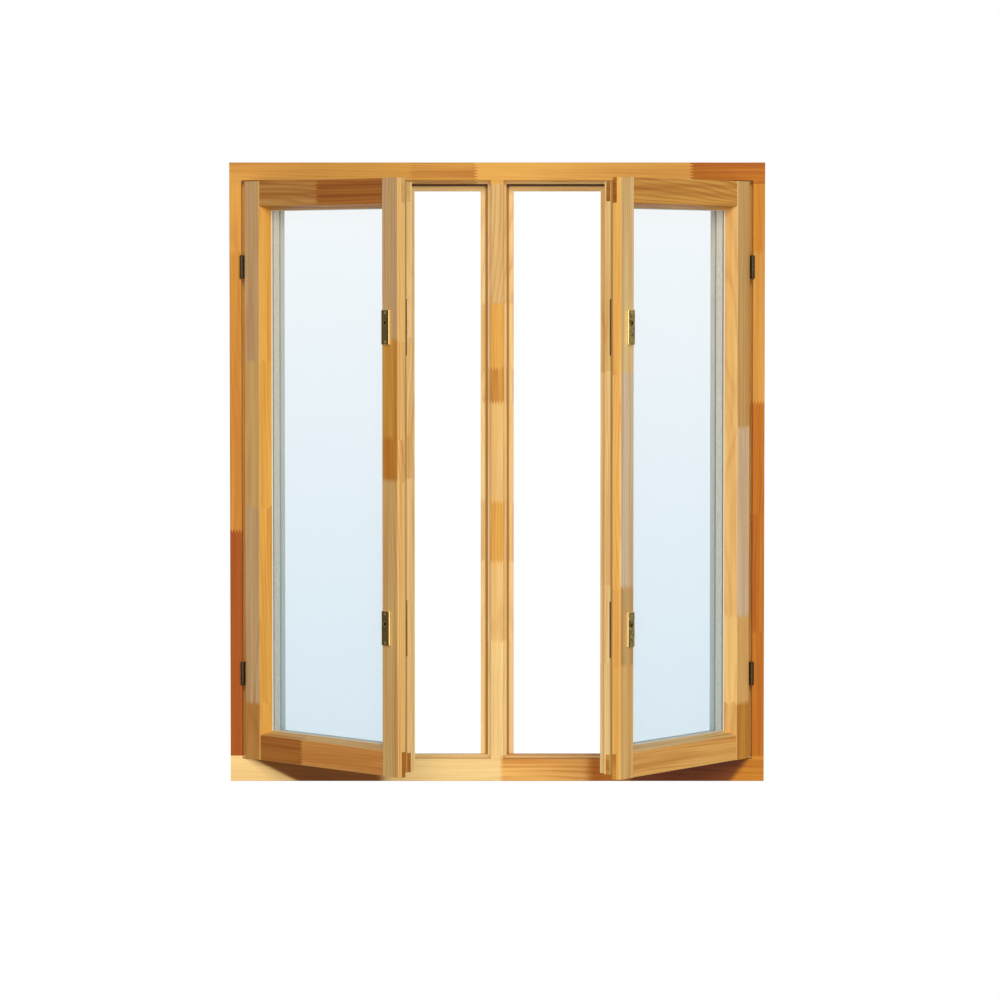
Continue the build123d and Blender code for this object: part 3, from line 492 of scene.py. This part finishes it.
def worn_plate(side, patina, cloudy):
    """Cast brass, bronzed dark in clouds of 7 mm, bright on the faces turned from the front: partly metal
    worn bright on its rounded edges, partly a painted highlight.
    """
    material, tree = new_material(f"bronzed brass plate, {side}")
    place = add(tree, "ShaderNodeTexCoord", out=3)
    facing = closing(side).inverted().to_3x3() @ Vector((0, -1, 0))
    turned = add(tree, "ShaderNodeVectorMath", {0: place.node.outputs["Normal"], 1: facing}, out=1,
                 operation="DOT_PRODUCT")
    # painted highlight, partly real wear: the faces turned from the front are drawn bright brass
    worn_edge_and_glint = add(tree, "ShaderNodeMapRange", {0: turned, 1: 0.97, 2: 0.75, 3: 0.0, 4: 1.0})
    cloud = add(tree, "ShaderNodeTexNoise", {"Vector": place, "Scale": 150.0, "Detail": 2.0})
    share = add(tree, "ShaderNodeMapRange", {0: cloud, 1: 0.4, 2: 0.6})
    dark = add(tree, "ShaderNodeMix", {0: share, 6: shade(patina), 7: shade(cloudy)}, out=2,
               data_type="RGBA")
    colour = add(tree, "ShaderNodeMix", {0: worn_edge_and_glint, 6: dark, 7: shade("#e6cd86")}, out=2,
                 data_type="RGBA")
    rough = add(tree, "ShaderNodeMapRange", {0: cloud, 1: 0.3, 2: 0.7, 3: 0.34, 4: 0.48})
    finish_material(tree, base_color=colour, roughness=rough, metallic=0.85)
    return material


def moulded(name, code, roughness):
    """Moulded rubber or plastic: matt, with a faint cloudy bloom in specks of 2.5 mm."""
    material, tree = new_material(name)
    place = add(tree, "ShaderNodeTexCoord", out=3)
    cloud = add(tree, "ShaderNodeTexNoise", {"Vector": place, "Scale": 400.0, "Detail": 3.0})
    level = add(tree, "ShaderNodeMapRange", {0: cloud, 3: 0.85, 4: 1.12})
    colour = add(tree, "ShaderNodeVectorMath", {0: shade(code), "Scale": level}, operation="SCALE")
    bump = add(tree, "ShaderNodeBump", {"Height": cloud, "Strength": 0.15, "Distance": 0.05 * MM})
    finish_material(tree, base_color=colour, roughness=roughness, normal=bump)
    return material


class WINDOW_OT_glazing(bpy.types.Operator):
    """Finishes the panes, spacers, edge sealant and setting blocks."""
    bl_idname = "window.glazing"
    bl_label = "Glazing"

    def execute(self, context):
        low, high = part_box("sash_left_pane_room")
        glass = float_glass("float glass", low.z, high.z)
        # extruded aluminium spacer, mill finish: soft grey metal whose warm tint is a painted reflection of
        # the wood
        spacer = brushed("mill aluminium spacer", "#dccdb4", "#eadfc8", 0.5, 0.4)
        # butyl and polysulphide edge seal, dull dark grey
        sealant = moulded("edge sealant", "#3a3936", 0.6)
        # cast polypropylene blocks, dull blue grey
        block = moulded("polypropylene setting block", "#6e7477", 0.5)
        for side in SIDES:
            dress(glass, f"sash_{side}_pane_room", f"sash_{side}_pane_outer")
            dress(spacer, f"sash_{side}_glass_spacer")
            dress(sealant, f"sash_{side}_glass_sealant")
            dress(block, f"sash_{side}_setting_blocks")
        return {"FINISHED"}


def pick_vertices(mesh, test):
    """Selects the vertices that pass a test, in vertex mode, from edit mode."""
    bpy.ops.mesh.select_all(action="DESELECT")
    bpy.ops.mesh.select_mode(type="VERT")
    bpy.ops.object.mode_set(mode="OBJECT")
    for vertex in mesh.vertices:
        vertex.select = test(vertex.co)
    bpy.ops.object.mode_set(mode="EDIT")


def glazing_line(side):
    """The gunned line of sealant in the corner between a sash's wood and its glass."""
    width = settings().glass_settings.line_width
    drop, rounding = 0.85 * width, 0.1 * width
    stiles = [closed_box(side, f"stile_{edge}") for edge in ("hinge", "lock")]
    stiles.sort(key=lambda limits: limits[0].x)
    rails = [closed_box(side, f"rail_{edge}") for edge in ("bottom", "top")]
    face = closed_box(side, "pane_room")[0].y
    low = Vector((stiles[0][1].x, face, rails[0][1].z))
    high = Vector((stiles[1][0].x, face, rails[1][0].z))

    bpy.ops.object.select_all(action="DESELECT")
    bpy.ops.mesh.primitive_plane_add(size=1, location=(low + high) / 2, rotation=(math.pi / 2, 0, 0))
    piece = bpy.context.object
    piece.name = f"sash_{side}_glazing_line"
    piece.scale = (high.x - low.x, high.z - low.z, 1)
    bpy.ops.object.transform_apply(location=True, rotation=True, scale=True)
    bpy.ops.object.mode_set(mode="EDIT")
    bpy.ops.mesh.select_all(action="SELECT")
    bpy.ops.mesh.inset(thickness=width)
    bpy.ops.mesh.delete(type="FACE")
    bpy.ops.mesh.select_all(action="SELECT")
    bpy.ops.mesh.extrude_region_move(TRANSFORM_OT_translate={"value": (0, -width, 0)})
    # the inner front edge goes down to the glass, which leaves a sloping fillet
    reach = width / 2
    pick_vertices(piece.data, lambda co: co.y < face - reach and low.x + reach < co.x < high.x - reach
                  and low.z + reach < co.z < high.z - reach)
    bpy.ops.transform.translate(value=(0, drop, 0))
    bpy.ops.mesh.select_all(action="SELECT")
    bpy.ops.mesh.bevel(offset=rounding, segments=2)
    bpy.ops.mesh.select_all(action="SELECT")
    bpy.ops.mesh.normals_make_consistent(inside=False)
    bpy.ops.object.mode_set(mode="OBJECT")
    piece.matrix_world = closing(side).inverted()
    bpy.ops.object.transform_apply(location=True, rotation=True, scale=True)
    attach(piece, f"sash_{side}")
    return piece


class WINDOW_OT_glazing_lines(bpy.types.Operator):
    """Runs the line of sealant round the room side of each glass."""
    bl_idname = "window.glazing_lines"
    bl_label = "Sealant lines"

    def execute(self, context):
        # neutral-cure silicone, translucent pale grey, smooth from the tool
        silicone = moulded("pale silicone line", "#d8ccb4", 0.35)
        for side in SIDES:
            glazing_line(side).data.materials.append(silicone)
        return {"FINISHED"}


# --- metal and rubber ------------------------------------------------------
class WINDOW_OT_fittings(bpy.types.Operator):
    """Finishes the hinges, catches, strikes and screws."""
    bl_idname = "window.fittings"
    bl_label = "Fittings"

    def execute(self, context):
        # steel with a dark bronze galvanised finish: near black, warm where it is rubbed
        bronze = brushed("bronzed steel", "#2c241a", "#4a3c28", 0.42)
        # antiqued brass: brown patina, on the right with yellow metal showing through
        brass = {
            "left": worn_plate("left", "#4a3710", "#5c4516"),
            "right": worn_plate("right", "#5a4514", "#9c8640"),
        }
        screws = brushed("brassed steel screw", "#7d6a3a", "#a08c54", 0.34)
        # sintered steel hub, dark and dense
        hub = brushed("sintered steel hub", "#6b5524", "#7d6631", 0.4)
        # pressed steel of the catch's case and bar, brown under its film of oil
        case = {
            "left": brushed("oiled pressed steel, left", "#8a6026", "#7a5420", 0.5, 0.2),
            "right": brushed("oiled pressed steel, right", "#4a300f", "#5c3d16", 0.5, 0.2),
        }
        # zinc plated pressed steel, grey with a faint yellow cast
        zinc = brushed("zinc plated steel", "#8f8a7c", "#b0ab9c", 0.38)
        for side in SIDES:
            for level in LEVELS:
                dress(bronze, f"hinge_frame_half_{side}_{level}", f"sash_{side}_hinge_{level}")
                dress(zinc, f"strike_{side}_{level}")
                dress(case[side], f"sash_{side}_tongue_{level}")
                dress(brass[side], f"sash_{side}_catch_plate_{level}")
                dress(hub, f"sash_{side}_hub_{level}")
            dress(case[side], f"sash_{side}_catch_cases")
            dress(screws, f"sash_{side}_screws")
        dress(bronze, "hinge_pins")
        dress(screws, "frame_fitting_screws")
        dress(zinc, "frame_corner_screws")
        return {"FINISHED"}


def seal_rubber():
    """Extruded EPDM rubber, light brown and matt, drawn darker under the head, where little
    light gets in."""
    material, tree = new_material("brown rubber seal")
    place = add(tree, "ShaderNodeTexCoord", out=3)
    height = add(tree, "ShaderNodeSeparateXYZ", {0: place}, out=2)
    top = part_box("seal_stop_left")[1].z
    under = add(tree, "ShaderNodeMapRange", {0: height, 1: top - 9 * MM, 2: top - 7 * MM})
    colour = add(tree, "ShaderNodeMix", {0: under, 6: shade("#b07c3c"), 7: shade("#5a3406")}, out=2,
                 data_type="RGBA")
    cloud = add(tree, "ShaderNodeTexNoise", {"Vector": place, "Scale": 400.0, "Detail": 3.0})
    bump = add(tree, "ShaderNodeBump", {"Height": cloud, "Strength": 0.15, "Distance": 0.05 * MM})
    finish_material(tree, base_color=colour, roughness=0.62, normal=bump)
    return material


class WINDOW_OT_seals(bpy.types.Operator):
    """Finishes the rubber seals in the frame's rebates."""
    bl_idname = "window.seals"
    bl_label = "Seals"

    def execute(self, context):
        dress(seal_rubber(), "seal_stop_left", "seal_stop_right")
        # the sill's seal is the same rubber in a pale beige
        dress(moulded("beige rubber seal", "#d9b06e", 0.62), "seal_sill")
        return {"FINISHED"}


# --- studio ----------------------------------------------------------------
class WINDOW_OT_studio(bpy.types.Operator):
    """Sets the floor, the soft light and the camera."""
    bl_idname = "window.studio"
    bl_label = "Studio"

    def execute(self, context):
        studio = settings().studio_settings
        low, high = CAD_BOX
        bpy.ops.object.select_all(action="DESELECT")
        bpy.ops.mesh.primitive_plane_add(size=1, location=(0, -1.5, studio.floor_height))
        floor = bpy.context.object
        floor.name = "studio_floor"
        floor.scale = (*FLOOR_SIZE, 1)
        bpy.ops.object.transform_apply(location=True, rotation=True, scale=True)
        # matt emulsion paint, near white
        material, tree = new_material("matt pale floor paint")
        grain = add(tree, "ShaderNodeTexNoise", {"Scale": 60.0})
        rough = add(tree, "ShaderNodeMapRange", {0: grain, 3: 0.75, 4: 0.9})
        finish_material(tree, base_color=shade("#f4f4f2"), roughness=rough)
        floor.data.materials.append(material)

        world = bpy.data.worlds.new("white studio")
        world.use_nodes = True
        tree = world.node_tree
        tree.nodes.clear()
        soft = add(tree, "ShaderNodeLightPath", out=2)
        strength = add(tree, "ShaderNodeMapRange", {0: soft, 3: 1.0, 4: studio.fill_strength})
        sky = add(tree, "ShaderNodeBackground", {"Color": (1.0, 1.0, 1.0), "Strength": strength})
        add(tree, "ShaderNodeOutputWorld", {"Surface": sky})
        context.scene.world = world

        centre = (low + high) / 2
        # a soft light above the camera, and a wider one level with the window: height over the
        # window's middle in metres, strength, and angular width in degrees
        for name, height, strength, width in (
            ("key_light", 2.9, studio.key_strength, 25),
            ("front_light", 0.2, studio.front_strength, 50),
        ):
            bpy.ops.object.light_add(type="SUN", location=(0.3, -6, centre.z + height))
            light = bpy.context.object
            light.name = name
            light.data.energy = strength
            light.data.angle = math.radians(width)
            light.rotation_euler = (centre - light.location).to_track_quat("-Z", "Y").to_euler()

        bpy.ops.object.camera_add(location=studio.camera_place)
        camera = bpy.context.object
        camera.name = "camera"
        camera.rotation_euler = (math.pi / 2 - studio.camera_pitch, 0, 0)
        camera.data.sensor_width = SENSOR
        camera.data.lens = studio.lens
        camera.data.clip_end = 100
        context.scene.camera = camera
        context.scene.view_settings.view_transform = "Standard"
        return {"FINISHED"}


STEPS = (
    WINDOW_OT_frame_timber, WINDOW_OT_sash_timber, WINDOW_OT_glazing, WINDOW_OT_glazing_lines,
    WINDOW_OT_fittings, WINDOW_OT_seals, WINDOW_OT_studio,
)
GROUPS = {"timber_tones": TimberTones, "glass_settings": GlassSettings, "studio_settings": StudioSettings}


class WINDOW_PT_steps(bpy.types.Panel):
    """Lists the settings and the steps in order."""
    bl_idname = "WINDOW_PT_steps"
    bl_label = "Casement window"
    bl_space_type = "VIEW_3D"
    bl_region_type = "UI"
    bl_category = "Window"

    def draw(self, context):
        for name, group in GROUPS.items():
            box = self.layout.box()
            for prop in group.__annotations__:
                box.prop(getattr(context.scene, name), prop)
        for step in STEPS:
            self.layout.operator(step.bl_idname)


def register():
    for kind in (*GROUPS.values(), *STEPS, WINDOW_PT_steps):
        bpy.utils.register_class(kind)
    for name, group in GROUPS.items():
        setattr(bpy.types.Scene, name, bpy.props.PointerProperty(type=group))


def unregister():
    for name in GROUPS:
        delattr(bpy.types.Scene, name)
    for kind in (WINDOW_PT_steps, *reversed(STEPS), *reversed(GROUPS.values())):
        bpy.utils.unregister_class(kind)


def main():
    register()
    for step in STEPS:
        group, name = step.bl_idname.split(".")
        getattr(getattr(bpy.ops, group), name)()


if __name__ == "__main__":
    main()
